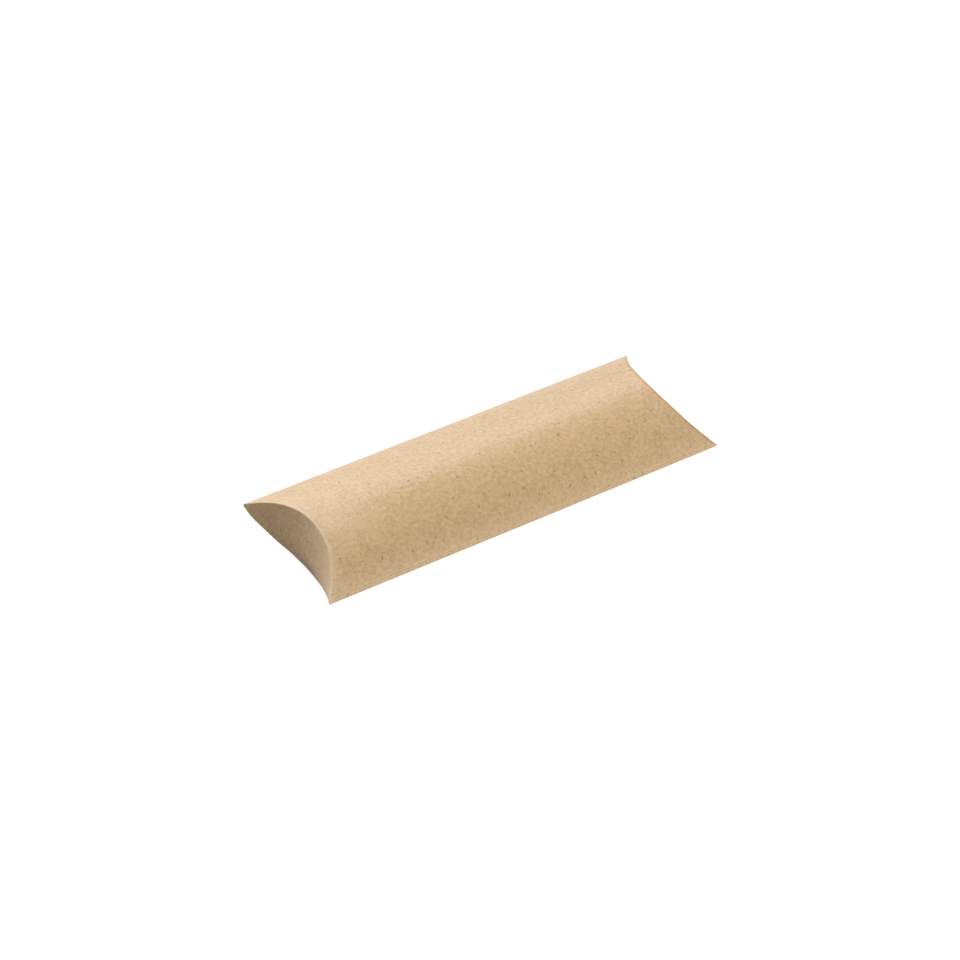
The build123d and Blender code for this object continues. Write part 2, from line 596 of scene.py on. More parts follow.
def new_group(
    name: str, inputs: Sequence[tuple[str, str, Any]], outputs: Sequence[tuple[str, str]]
) -> tuple[Wiring, Any, Any]:
    """Starts a shader node group.

    Args:
        name: name of the group.
        inputs: name, kind and default value of each input. The kind is Float, Vector or Color.
        outputs: name and kind of each output.

    Returns:
        The group's wiring, its input node's outputs and its output node's inputs.
    """
    tree = bpy.data.node_groups.new(name, "ShaderNodeTree")
    for label, kind, value in inputs:
        socket = tree.interface.new_socket(name=label, in_out="INPUT", socket_type="NodeSocket" + kind)
        socket.default_value = value
    for label, kind in outputs:
        tree.interface.new_socket(name=label, in_out="OUTPUT", socket_type="NodeSocket" + kind)
    wiring = Wiring(tree)
    return wiring, wiring.add("NodeGroupInput").outputs, wiring.add("NodeGroupOutput").inputs


@dataclass(frozen=True)
class FibreLayer:
    """One kind of fibre or fleck in the pulp.

    Attributes:
        cell: side of the cells that hold one each, in millimetres.
        length: its length, in millimetres.
        width: its width, in millimetres.
        share: share of the cells that hold one.
        seed: how far its pattern is moved, so that no two kinds fall together.
        strength: how strongly it shows.
        shade: the colour that it takes.
    """

    cell: float
    length: float
    width: float
    share: float
    seed: float
    strength: float
    shade: Shade


DARK_FIBRES = FibreLayer(1.5, 1.3, 0.2, 0.8, 3.0, 0.2, Shade.FLECK)
PALE_FIBRES = FibreLayer(1.8, 1.3, 0.2, 0.75, 11.0, 0.17, Shade.PALE)
SMALL_FLECKS = FibreLayer(3.6, 0.9, 0.36, 0.7, 5.0, 0.34, Shade.FLECK)
LARGE_FLECKS = FibreLayer(8.0, 1.1, 0.5, 0.5, 7.0, 0.62, Shade.FLECK)
PALE_TUFTS = FibreLayer(5.5, 0.5, 0.3, 0.4, 19.0, 0.35, Shade.PALE)


def fibre_group() -> bpy.types.NodeTree:
    """Short fibres that lie on the card, each at its own slant.

    The plane is split into cells with one point each. A fibre lies on the point, turned by the cell's random colour,
    and the mask falls from 1 to 0 past its half width. Only a share of the cells holds one. A slow shift of the plane
    bends the fibres a little.

    Returns:
        The group, with its output Mask.
    """
    numbers = [("Cell", 4.0), ("Half Length", 0.5), ("Half Width", 0.1), ("Share", 0.5), ("Seed", 0.0)]
    inputs = [("Plane", "Vector", (0.0, 0.0, 0.0))] + [(name, "Float", value) for name, value in numbers]
    w, given, result = new_group("Fibres", inputs, [("Mask", "Float")])
    seed_step = (17.3, 9.1, 0.0)
    bend_scale, bend_reach = 0.7, (0.9, 0.9, 0.0)
    width_spread, least_width = 0.9, 0.55
    full_until, gone_from = 0.35, 1.5
    bend = w.add("ShaderNodeTexNoise", {"Vector": given["Plane"], "Scale": bend_scale, "Detail": 1.0}).outputs["Color"]
    shift = w.vector("MULTIPLY", w.vector("SUBTRACT", bend, (0.5, 0.5, 0.5)), bend_reach)
    plane = w.vector("ADD", w.vector("ADD", given["Plane"], shift), w.scaled(seed_step, given["Seed"]))
    cells = w.vector("DIVIDE", plane, w.add("ShaderNodeCombineXYZ", dict.fromkeys(range(3), given["Cell"])).outputs[0])
    voronoi = w.add(
        "ShaderNodeTexVoronoi", {"Vector": cells, "Scale": 1.0, "Randomness": 0.8}, voronoi_dimensions="2D"
    )
    chance = w.add("ShaderNodeSeparateColor", {0: voronoi.outputs["Color"]}).outputs
    local = w.scaled(w.vector("SUBTRACT", cells, voronoi.outputs["Position"]), given["Cell"])
    slant = w.math("MULTIPLY", chance[0], math.pi)
    turned = w.add("ShaderNodeVectorRotate", {"Vector": local, "Angle": slant}, rotation_type="Z_AXIS").outputs[0]
    sides = w.add("ShaderNodeSeparateXYZ", {0: turned}).outputs
    past_end = w.math("MAXIMUM", w.math("SUBTRACT", w.math("ABSOLUTE", sides[0]), given["Half Length"]), 0.0)
    away = w.math("SQRT", w.math("ADD", w.math("POWER", past_end, 2.0), w.math("POWER", sides[1], 2.0)))
    width = w.math("MULTIPLY", given["Half Width"], w.math("MULTIPLY_ADD", chance[2], width_spread, least_width))
    limits = {"From Min": w.math("MULTIPLY", width, full_until), "From Max": w.math("MULTIPLY", width, gone_from)}
    falling = w.add(
        "ShaderNodeMapRange", {"Value": away, **limits, "To Min": 1.0, "To Max": 0.0}, interpolation_type="SMOOTHSTEP"
    )
    kept = w.math("LESS_THAN", chance[1], given["Share"])
    w.tree.links.new(w.math("MULTIPLY", falling.outputs[0], kept), result["Mask"])
    return w.tree


def card_group(fibres: bpy.types.NodeTree) -> bpy.types.NodeTree:
    """Kraft card: cloudy pulp, fine grain, dark flecks, pale and dark fibres, paler fibres where it is crushed or a
    highlight is painted, and painted shade.

    Args:
        fibres: the group that draws one layer of fibres.

    Returns:
        The group, with its outputs Color, Roughness and Height.
    """
    inputs = [
        ("Plane", "Vector", (0.0, 0.0, 0.0)),
        ("Wear", "Float", 0.0),
        ("Soil", "Float", 0.0),
        ("Card", "Color", (0.5, 0.4, 0.2, 1.0)),
        ("Fleck", "Color", (0.2, 0.1, 0.05, 1.0)),
        ("Pale", "Color", (0.8, 0.7, 0.5, 1.0)),
        ("Flecks", "Float", 1.0),
        ("Crush", "Float", 0.5),
        ("Roughness", "Float", 0.45),
    ]
    outputs = [("Color", "Color"), ("Roughness", "Float"), ("Height", "Float")]
    w, given, result = new_group("Kraft card", inputs, outputs)

    def mask(layer: FibreLayer) -> bpy.types.NodeSocket:
        """Where one kind of fibre lies: 1 on it and 0 off it."""
        inputs = {
            "Plane": given["Plane"],
            "Cell": layer.cell,
            "Half Length": layer.length / 2,
            "Half Width": layer.width / 2,
            "Share": layer.share,
            "Seed": layer.seed,
        }
        return w.add("ShaderNodeGroup", inputs, node_tree=fibres).outputs["Mask"]

    cloud, mottle, grain, fine = (
        w.math("SUBTRACT", w.noise(given["Plane"], scale, detail), 0.5)
        for scale, detail in ((0.13, 2.0), (0.5, 3.0), (1.5, 3.0), (5.5, 2.0))
    )
    tone = w.math("MULTIPLY_ADD", cloud, 0.2, w.math("MULTIPLY_ADD", mottle, 0.55, w.math("MULTIPLY", grain, 0.42)))
    # Where the pulp is denser it is darker, and browner as well
    shade = w.vector("MULTIPLY_ADD", w.scaled((1.0, 1.17, 1.5), tone), WHITE, WHITE)
    colour = w.vector("MULTIPLY", given["Card"], shade)
    masks = {kind: mask(kind) for kind in (DARK_FIBRES, PALE_FIBRES, SMALL_FLECKS, LARGE_FLECKS, PALE_TUFTS)}
    for kind, place in masks.items():
        strength = w.math("MULTIPLY", w.math("MULTIPLY", place, kind.strength), given["Flecks"])
        colour = w.mixed(strength, colour, given[kind.shade.value])
    # Crushed fibres show paler where the grain is raised; this mix also lays on the painted highlight, and painted
    # shade in finishes whose Pale colour is dark
    tufts = w.math("MULTIPLY_ADD", grain, 1.6, 0.9)
    crushed = w.math("MULTIPLY", w.math("MULTIPLY", given["Wear"], tufts), given["Crush"], clamp=True)
    colour = w.mixed(crushed, colour, given["Pale"])
    # Painted shade: the colour is darkened by this mask, most along the flaps' free edges
    painted_shading = w.vector("MULTIPLY", colour, PAINTED_SHADE)
    w.tree.links.new(w.mixed(given["Soil"], colour, painted_shading), result["Color"])
    rough = w.math("MULTIPLY_ADD", grain, 0.12, w.math("MULTIPLY_ADD", given["Wear"], 0.12, given["Roughness"]))
    w.tree.links.new(rough, result["Roughness"])
    relief = w.math("MULTIPLY_ADD", grain, 0.6, w.math("MULTIPLY_ADD", fine, 0.4, 0.5))
    lifted = w.math("MAXIMUM", masks[DARK_FIBRES], masks[PALE_FIBRES])
    w.tree.links.new(w.math("MULTIPLY_ADD", lifted, 0.35, relief), result["Height"])
    return w.tree


@dataclass(frozen=True)
class CardFinish:
    """One face of the kraft card.

    Attributes:
        name: name of the material.
        card: the card's own colour, in linear light.
        fleck: colour of the flecks and the dark fibres.
        pale: colour of the pale fibres, and of the card where it is crushed or a highlight is painted; where it is
            dark, it gives painted shade.
        flecks: how strongly flecks and fibres show.
        crush: how strongly the fibres turn to that colour where the card is crushed, and where a highlight or shade is
            painted.
        roughness: roughness of the plain surface.
        shine: how strongly it reflects.
        relief: depth of the surface's grain, in metres.
        shift: how far the pattern is moved over the blank, in millimetres, so that two faces differ.
    """

    name: str
    card: Colour
    fleck: Colour = (0.20, 0.115, 0.05)
    pale: Colour = (0.84, 0.66, 0.46)
    flecks: float = 1.0
    crush: float = 0.8
    roughness: float = 0.42
    shine: float = 0.36
    relief: float = 0.012 * MM
    shift: float = 0.0

    def material(self, card: bpy.types.NodeTree) -> bpy.types.Material:
        """Makes the material.

        Args:
            card: the group that colours kraft card.

        Returns:
            The material, which reads the attributes blank, wear and soil; wear also carries a painted highlight, and
            soil painted shade.
        """
        made = bpy.data.materials.new(self.name)
        w = Wiring.of(made)
        blank = w.add("ShaderNodeAttribute", attribute_name="blank").outputs["Vector"]
        inputs = {
            "Plane": w.vector("ADD", w.scaled(blank, 1 / MM), (self.shift, self.shift, 0.0)),
            "Wear": w.add("ShaderNodeAttribute", attribute_name="wear").outputs["Fac"],
            "Soil": w.add("ShaderNodeAttribute", attribute_name="soil").outputs["Fac"],
            "Card": (*self.card, 1.0),
            "Fleck": (*self.fleck, 1.0),
            "Pale": (*self.pale, 1.0),
            "Flecks": self.flecks,
            "Crush": self.crush,
            "Roughness": self.roughness,
        }
        looks = w.add("ShaderNodeGroup", inputs, node_tree=card).outputs
        w.surface(looks["Color"], looks["Roughness"], looks["Height"], self.relief, self.shine)
        return made


@dataclass(frozen=True)
class CutFinish:
    """The raw cut edge of the card: paler pulp, in fine layers that follow the sheet.

    Attributes:
        name: name of the material.
        core: colour of the paler layers.
        dark: colour of the darker layers.
        roughness: roughness of the pulp.
        relief: depth of the surface's grain, in metres.
    """

    name: str = "cut edge of kraft card"
    core: Colour = (0.62, 0.45, 0.28)
    dark: Colour = (0.36, 0.23, 0.12)
    roughness: float = 0.75
    relief: float = 0.03 * MM

    def material(self) -> bpy.types.Material:
        """Makes the material, on noise in the piece's own coordinates."""
        made = bpy.data.materials.new(self.name)
        w = Wiring.of(made)
        place = w.scaled(w.add("ShaderNodeTexCoord").outputs["Object"], 1 / MM)
        layers = w.noise(w.vector("MULTIPLY", place, (0.8, 0.8, 6.0)), 1.0, 3.0)
        pulp = w.noise(place, 3.5, 3.0)
        mask = w.math("MULTIPLY_ADD", layers, 1.3, w.math("MULTIPLY_ADD", pulp, 0.7, -0.6), clamp=True)
        colour = w.mixed(mask, (*self.dark, 1.0), (*self.core, 1.0))
        w.surface(colour, w.math("MULTIPLY_ADD", pulp, 0.2, self.roughness - 0.1), pulp, self.relief)
        return made


@dataclass(frozen=True)
class GlueFinish:
    """Dried white glue: pale, smooth in places and dull in others, with small bubbles.

    Attributes:
        name: name of the material.
        thin: its colour where it is thin.
        thick: its colour where it is thick.
        relief: depth of the surface's bubbles and smears, in metres.
    """

    name: str = "dried glue"
    thin: Colour = (0.62, 0.52, 0.38)
    thick: Colour = (0.84, 0.79, 0.68)
    relief: float = 0.06 * MM

    def material(self) -> bpy.types.Material:
        """Makes the material, on noise in the piece's own coordinates."""
        made = bpy.data.materials.new(self.name)
        w = Wiring.of(made)
        place = w.scaled(w.add("ShaderNodeTexCoord").outputs["Object"], 1 / MM)
        smear = w.noise(w.vector("MULTIPLY", place, (0.12, 0.6, 0.6)), 1.0, 3.0)
        bubbles = w.add("ShaderNodeTexVoronoi", {"Vector": place, "Scale": 1.3}).outputs["Distance"]
        height = w.math("MULTIPLY_ADD", bubbles, 0.3, smear)
        thickness = w.math("MULTIPLY_ADD", smear, 2.0, -0.5, clamp=True)
        colour = w.mixed(thickness, (*self.thin, 1.0), (*self.thick, 1.0))
        w.surface(colour, w.math("MULTIPLY_ADD", smear, 0.5, 0.15), height, self.relief)
        return made


@dataclass(frozen=True)
class Finishes:
    """The materials of the box, each made once.

    Attributes:
        face: outer face of the card.
        score: outer face of the lower creases, with painted shade along them.
        dull: outer face of the right upper crease, with a little painted shade and less shine.
        back: inner face of the card.
        cut: cut edges.
        glue: the adhesive.
    """

    face: bpy.types.Material
    score: bpy.types.Material
    dull: bpy.types.Material
    back: bpy.types.Material
    cut: bpy.types.Material
    glue: bpy.types.Material

    @classmethod
    def made(cls) -> "Finishes":
        """Makes them all."""
        card = card_group(fibre_group())
        kraft = (0.6, 0.408, 0.216)
        inside = (0.545, 0.365, 0.21)
        # Painted shade: where the lower creases and the right upper crease are crushed, they darken to this brown
        painted_shade_brown = (0.16, 0.1, 0.055)
        back = CardFinish("kraft back", inside, roughness=0.62, relief=0.02 * MM, shift=431.0)
        return cls(
            face=CardFinish("kraft face", kraft).material(card),
            score=CardFinish("kraft score", kraft, pale=painted_shade_brown, crush=0.9).material(card),
            dull=CardFinish("kraft burnished", kraft, pale=painted_shade_brown, crush=0.5, shine=0.2).material(card),
            back=back.material(card),
            cut=CutFinish().material(),
            glue=GlueFinish().material(),
        )

    def of_card(self, outer: bpy.types.Material) -> list[bpy.types.Material]:
        """The materials of a stretch of card, in the order of the kinds of face."""
        return [outer, self.back, self.cut]


@dataclass(frozen=True)
class Piece:
    """One finished piece, with what the frame is told of it.

    Attributes:
        name: name of the object.
        sheet: its shape.
        materials: its materials, by kind of face.
        node: the CAD node that it stands for.
        slot: the record's material slot; not used.
        body: the body that it rides on.
        bend: for a flap, the body that it would bend towards and two points of the bend; nothing bends, and with a
            bend the piece is attached to no body.
    """

    name: str
    sheet: Sheet
    materials: Sequence[bpy.types.Material]
    node: str
    slot: str
    body: str = "tube"
    bend: tuple[str, Vector, Vector] | None = None

    def place(self) -> bpy.types.Object:
        """Makes the object, dresses it, attaches it to its body unless it has a bend, and hides its CAD node."""
        mesh = self.sheet.mesh(self.name)
        for material in self.materials:
            mesh.materials.append(material)
        made = new_object(self.name, mesh)
        if self.bend is None:
            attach(made, self.body)
        else:
            moving, start, stop = self.bend
            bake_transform(made)
            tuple(start)
            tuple(stop)
        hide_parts(self.node)
        return made


@dataclass(frozen=True)
class Tube:
    """The glued tube: two arched walls, two long folds, the glue tab and the glue under it.

    Attributes:
        shape: the box's curves.
        finishes: the box's materials.
        upper_border: depth behind the end walls at which the upper wall meets its creases.
        lower_border: the same for the lower wall.
        lower_border_tip: the same for the lower wall at the long folds.
        border_taper: how far from the long folds it starts to lessen to that.
        rows: points of a wall along the box.
        columns: points of a wall across it.
        wave_height: height of the walls' faint waves.
        wave_lengths: each wave's lengths along the box and across it, and its phase.
        wave_start: how far across the lower wall's waves come in, so that it rests flat.
        cut_radius: radius of the corners at a cut edge.
        cut_wear: how far in from a cut edge the tab is worn.
        hem_start: how far past the fold line the lower wall's stretch under the back fold starts.
        hem_gap: how far short of the box's width that stretch is cut.
        hem_border: depth behind the end walls at which the stretch ends.
        hem_columns: points across that stretch.
        fold_steps: points of a long fold's three arcs.
        tab_width: how far in from the long edge the glue tab reaches.
        tab_columns: points across the tab.
        tab_end_gap: how far short of the box's length its root ends.
        tab_end_taper: how far short of the end walls' arc its cut edge ends.
        glue_margin: how far from the tab's long edge and root the glue stays.
        glue_columns: points across the glue.
        glue_wave: height of its wavy edges.
        glue_ripples: each wave's length, share and phase, for the edge by the middle and the one by the fold.
    """

    shape: BoxShape
    finishes: Finishes
    upper_border: float = 2.0 * MM
    lower_border: float = 2.0 * MM
    lower_border_tip: float = 0.7 * MM
    border_taper: float = 3.0 * MM
    rows: int = 121
    columns: int = 81
    wave_height: float = 0.09 * MM
    wave_lengths: tuple[tuple[float, float, float], ...] = (
        (61 * MM, 95 * MM, 0.3),
        (37 * MM, -58 * MM, 2.1),
        (88 * MM, 41 * MM, 4.4),
    )
    wave_start: float = 12.0 * MM
    cut_radius: float = 0.09 * MM
    cut_wear: float = 0.4 * MM
    hem_start: float = 0.01 * MM
    hem_gap: float = 0.03 * MM
    hem_border: float = 0.05 * MM
    hem_columns: int = 4
    fold_steps: tuple[int, int, int] = (6, 14, 6)
    tab_width: float = 12.0 * MM
    tab_columns: int = 14
    tab_end_gap: float = 3.6 * MM
    tab_end_taper: float = 3.0 * MM
    glue_margin: float = 2.5 * MM
    glue_columns: int = 12
    glue_wave: float = 0.2 * MM
    glue_ripples: tuple[tuple[tuple[float, float, float], ...], ...] = (
        ((3.1 * MM, 1.0, 0.0), (7.7 * MM, 0.6, 1.3), (17.0 * MM, 0.5, 0.0)),
        ((2.7 * MM, 1.0, 2.0), (9.3 * MM, 0.7, 0.0)),
    )

    def waves(self, along: Grid, across: Grid) -> Grid:
        """Faint waves of handled card: a sum of sines, drawn to nothing at the wall's ends and long edges."""
        total = np.zeros_like(along)
        for length, breadth, phase in self.wave_lengths:
            total += np.sin(2 * np.pi * (along / length + across / breadth) + phase)
        calm = (1 - (across / self.shape.fold_line) ** 2) * (1 - (along / self.shape.half_length) ** 4)
        return self.wave_height * total * np.clip(calm, 0.0, 1.0) / len(self.wave_lengths)

    def lower_depth(self, across: Grid) -> Grid:
        """Depth at which the lower wall meets its creases: it lessens over the last stretch before the long folds."""
        near = eased((self.shape.fold_line - np.abs(across)) / self.border_taper)
        return self.lower_border_tip + (self.lower_border - self.lower_border_tip) * near

    def upper_wall(self) -> Sheet:
        """The upper wall, its rows along the box and its columns across it."""
        shape = self.shape
        across = shape.stations(shape.fold_line, self.columns)
        along = shape.between_ends(self.rows, across, self.upper_border)
        sway = self.waves(along, across)
        outer = as_points(along, across, shape.upper(across, -sway))
        inner = as_points(along, across, shape.upper(across, shape.card - sway))
        girth = shape.girth(across)
        # The painted highlight on the crown near the left end goes in with the crushing, as paler card
        wear = np.maximum(shape.handled(along, across, girth), shape.painted_highlight(along, across))
        return Sheet(outer, inner, as_points(along, girth), wear)

    def lower_wall(self) -> Sheet:
        """The lower wall, which runs on under the back fold to its cut edge."""
        shape = self.shape
        inside = shape.stations(shape.fold_line, self.columns)
        hem = np.linspace(shape.fold_line + self.hem_start, shape.half_width - self.hem_gap, self.hem_columns)
        edge, sinks = rounded_end(hem, self.cut_radius)
        across = np.concatenate([inside, edge])
        sink = np.concatenate([np.zeros(self.columns), sinks])
        depth = np.where(across > shape.fold_line, self.hem_border, self.lower_depth(across))
        along = shape.between_ends(self.rows, across, depth)
        sway = self.waves(-along, across) * eased(np.abs(across) / self.wave_start)
        outer = as_points(along, across, shape.lower(across, sink - sway))
        inner = as_points(along, across, shape.lower(across, shape.card - sink - sway))
        girth = shape.girth(across)
        blank = as_points(along, -2 * shape.half_girth - girth)
        return Sheet(outer, inner, blank, shape.handled(along, across, girth))

    def fold_section(self, lower_start: float, inset: float) -> Grid:
        """Section of the back long fold: three arcs, from the upper wall round the tip to the lower wall.

        The tip's arc touches both walls' arcs from inside, so its middle lies at their radii less its own from their
        middles. Each point is an arc's middle plus its radius times the sine and cosine of a turn.

        Args:
            lower_start: depth of the fold's lower leg inside the lower wall's outer face.
            inset: depth of this face inside the fold's outer face.

        Returns:
            Places across and heights, one row for each point.
        """
        shape = self.shape
        upper = shape.wall_radius
        lower = shape.lower_radius - lower_start
        tip = shape.fold_radius
        rise = (upper - tip) ** 2 - (lower - tip) ** 2 + shape.lower_centre**2 - shape.upper_centre**2
        height = rise / (2 * (shape.lower_centre - shape.upper_centre))
        across = math.sqrt((upper - tip) ** 2 - (height - shape.upper_centre) ** 2)
        leave = math.atan2(across, height - shape.upper_centre)
        meet = math.atan2(across, height - shape.lower_centre)
        first = math.asin(shape.fold_line / (upper - inset))
        last = math.pi - math.asin(shape.fold_line / (lower - inset))
        into, round_tip, out = self.fold_steps
        arcs = (
            (0.0, shape.upper_centre, upper, np.linspace(first, leave, into, endpoint=False)),
            (across, height, tip, np.linspace(leave, meet, round_tip, endpoint=False)),
            (0.0, shape.lower_centre, lower, np.linspace(meet, last, out)),
        )
        return np.concatenate(
            [
                as_points(y + (radius - inset) * np.sin(turn), z + (radius - inset) * np.cos(turn))
                for y, z, radius, turn in arcs
            ]
        )

    def long_fold(self, edge: Edge, lower_start: float) -> Sheet:
        """A long fold, its rows along the box and its columns round the fold."""
        shape = self.shape
        faces = []
        for inset in (0.0, shape.card):
            across, height = self.fold_section(lower_start, inset).T
            across = edge.value * across
            faces.append(as_points(shape.between_ends(self.rows, across), across, height))
        along, across = faces[0][..., 0], faces[0][..., 1]
        girth = shape.girth(np.array(shape.fold_line)) + run_of(faces[0][0, :, 1:])
        blank = as_points(along, edge.value * girth)
        return Sheet(*faces, blank, shape.handled(along, across, girth))

    def glue_tab(self) -> Sheet:
        """The tab that closes the tube, inside the lower wall, with slanted ends and a cut long edge."""
        shape = self.shape
        start = shape.card + shape.glue
        far = shape.half_width - self.tab_width
        places, sink = rounded_end(np.linspace(-shape.fold_line, -far, self.tab_columns), self.cut_radius)
        across = -places
        root = shape.half_length - self.tab_end_gap
        tip = shape.end_at(End.RIGHT, far) - self.tab_end_taper
        reach = tip + (root - tip) * (across - far) / (shape.fold_line - far)
        along = np.linspace(-1.0, 1.0, self.rows)[:, None] * reach
        outer = as_points(along, across, shape.lower(across, start + sink))
        inner = as_points(along, across, shape.lower(across, start + shape.card - sink))
        blank = as_points(along, 2 * shape.half_girth - shape.girth(across))
        to_edge = np.minimum(across - far, reach - np.abs(along))
        return Sheet(outer, inner, blank, closeness(to_edge, self.cut_wear))

    def glue_bead(self) -> Sheet:
        """The thin bed of glue under the tab, whose long edges are sums of sines, where it was pressed out."""
        shape = self.shape
        low = shape.half_width - self.tab_width + self.glue_margin
        high = shape.fold_line - self.glue_margin
        reach = shape.end_at(End.RIGHT, 0.0) - self.tab_end_taper
        along = np.linspace(-reach, reach, 2 * self.rows)[:, None]
        near, away = (
            place + self.glue_wave * sum(part * np.sin(along / length + phase) for length, part, phase in ripples)
            for place, ripples in zip((low, high), self.glue_ripples)
        )
        across = near + (away - near) * np.linspace(0.0, 1.0, self.glue_columns)
        outer = as_points(along, across, shape.lower(across, shape.card))
        inner = as_points(along, across, shape.lower(across, shape.card + shape.glue))
        return Sheet(outer, inner, as_points(along, across), np.zeros_like(across))

    def pieces(self) -> Iterator[Piece]:
        """The tube's pieces, in the order in which they are folded."""
        made = self.finishes
        for node, slot, sheet in (
            ("top_panel", "card_upper", self.upper_wall()),
            ("bottom_panel", "card_lower", self.lower_wall()),
            ("front_fold", "card_fold", self.long_fold(Edge.FRONT, 0.0)),
            ("seam_fold", "card_fold", self.long_fold(Edge.BACK, self.shape.card + self.shape.glue)),
            ("glue_tab", "card_lower", self.glue_tab()),
        ):
            yield Piece(node + "_card", sheet, made.of_card(made.face), node, slot)
        yield Piece("glue_bead", self.glue_bead(), [made.glue] * len(Surface), "glue_line", "adhesive")


@dataclass(frozen=True)
class EndFlaps:
    """The two flaps that close one end, and the curved creases that they hang on.

    Each is worked out on a grid whose rows lie across the box, as if for the right end.

    Attributes:
        tube: the tube that they close, whose borders the creases share.
        end: which end of the box.
        crease_radius: outer radius of the upper crease.
        front_crease: how much wider its radius is at the front of the left end.
        crease_drop: how far down the end wall the upper crease's piece reaches.
        crease_drop_share: the most of the end wall's height that it takes.
        flap_clearance: room between the flaps.
        edge_heights: height of the outer flap's free edge over the lower wall's face, in millimetres, at places
            across the box. It stands off the crease in the middle, and hangs a little past it at both sides.
        ledge: how far the lower crease stands out under the gap.
        ledge_shares: share of that, at places across the box in millimetres.
        ledge_radius: how far from its corner it bulges.
        ledge_onset: share of the crease's section over which the bulge comes in.
        soil: how strongly painted shade darkens the flap along its free edge.
        soil_height: how far up the painted shade reaches.
        soil_fade: power by which it fades on the way up.
        soil_middle: where across the box it is strongest.
        soil_spread: how far it spreads from there.
        lip_radius: outer radius of the lower crease.
        lip_top: height of its piece over the lower wall's face.
        swing_clearance: room that the inner flap keeps under the upper wall as it swings in.
        inner_width_share: width of the inner flap, as a share of the box's.
        inner_columns: points across the inner flap, between its cut sides.
        outer_bend: distances from the crease's plane of the two points given for the outer flap's bend, the first past
            the crease's piece at every tip; the flap does not bend.
        inner_bend: the same for the inner flap.
        cut_share: share of a flap's height that its cut edge's rounded corner takes.
        cut_wear: how far in from a cut edge the inner flap is worn.
        crease_rows: points round a crease.
        flap_rows: points down a flap.
    """

    tube: Tube
    end: End
    crease_radius: float = 0.6 * MM
    front_crease: float = 0.9 * MM
    crease_drop: float = 2.0 * MM
    crease_drop_share: float = 0.75
    flap_clearance: float = 0.15 * MM
    edge_heights: tuple[tuple[float, float], ...] = (
        (-34.0, 0.12),
        (-30.5, -0.65),
        (-24.0, -0.1),
        (-15.0, 0.5),
        (-4.0, 0.5),
        (8.0, 0.2),
        (19.0, -0.85),
        (34.0, 0.12),
    )
    ledge: float = 0.4 * MM
    ledge_shares: tuple[tuple[float, float], ...] = ((-23.0, 0.0), (-14.0, 1.0), (-3.0, 1.0), (8.0, 0.0))
    ledge_radius: float = 0.4 * MM
    ledge_onset: float = 0.25
    soil: float = 1.0
    soil_height: float = 6.5 * MM
    soil_fade: float = 1.3
    soil_middle: float = -3.0 * MM
    soil_spread: float = 12.0 * MM
    lip_radius: float = 0.6 * MM
    lip_top: float = 1.0 * MM
    swing_clearance: float = 0.3 * MM
    inner_width_share: float = 0.86
    inner_columns: int = 61
    outer_bend: tuple[float, float] = (2.65 * MM, 19.0 * MM)
    inner_bend: tuple[float, float] = (1.45 * MM, 17.0 * MM)
    cut_share: float = 0.004
    cut_wear: float = 0.35 * MM
    crease_rows: int = 26
    flap_rows: int = 44

    @property
    def shape(self) -> BoxShape:
        """The box's curves."""
        return self.tube.shape

    @property
    def stations(self) -> Grid:
        """Places across the box, one row for each, that a crease or the outer flap shares with the walls."""
        return self.shape.stations(self.shape.fold_line, self.tube.columns)[:, None]

    def free_edge(self, across: Grid) -> Grid:
        """Height of the outer flap's free edge."""
        return self.shape.lower(across) + MM * levelled(across / MM, self.edge_heights)

    def drop(self, across: Grid) -> Grid:
        """How far under the upper wall's face the upper crease's piece ends and the outer flap's starts."""
        bottom = self.shape.upper_depth(across, self.free_edge(across))
        return np.minimum(self.crease_drop, bottom * self.crease_drop_share)

    def flap_shares(self) -> tuple[Grid, Grid]:
        """Shares of a flap's height, crowded towards its cut edge, and how far its faces sink there."""
        share, sink = rounded_end(np.linspace(0.0, 1.0, self.flap_rows), self.cut_share)
        return share, sink * (self.tube.cut_radius / self.cut_share)

    def painted_shading(self, face: Grid) -> Grid:
        """How much painted shade darkens the end wall: a bell across the box, fading with the height over the lower
        wall.
        """
        across = face[..., 1]
        bell = np.exp(-(((across - self.soil_middle) / self.soil_spread) ** 2))
        height = face[..., 2] - self.shape.lower(across)
        return self.soil * bell * np.clip(1 - height / self.soil_height, 0.0, 1.0) ** self.soil_fade

    def upper_crease(self) -> Sheet:
        """The upper crease: the path of a rounded corner, in depth behind the end and depth under the wall."""
        shape = self.shape
        across = self.stations
        drop = self.drop(across)
        wide = shape.pressed(self.end, across)[..., None]
        faces = []
        for inset in (0.0, shape.card):
            ends = [(self.tube.upper_border, inset), (inset, inset), (inset, self.crease_drop)]
            radius = self.crease_radius - inset
            tight = rounded_path(ends, radius, self.crease_rows)
            loose = rounded_path(ends, radius + self.front_crease, self.crease_rows)
            path = tight + (loose - tight) * wide
            under = inset + (drop - inset) * (path[..., 1] - inset) / (self.crease_drop - inset)
            faces.append(as_points(shape.end(self.end, across, path[..., 0]), across, shape.upper(across, under)))
        along, _, height = np.moveaxis(faces[0], -1, 0)
        behind = shape.end(self.end, across) - along
        under = shape.upper(across) - height
        # The painted highlight near the left end reaches onto the crease as well
        painted_highlight_strength = shape.painted_highlight(self.end.value * along, across)
        wear = np.maximum(shape.creased(self.end, across, behind, under), painted_highlight_strength)
        # Painted shade along the flaps' free edges, which hardly reaches the crease
        return Sheet(*faces, as_points(along + under, shape.girth(across)), wear, self.painted_shading(faces[0]))

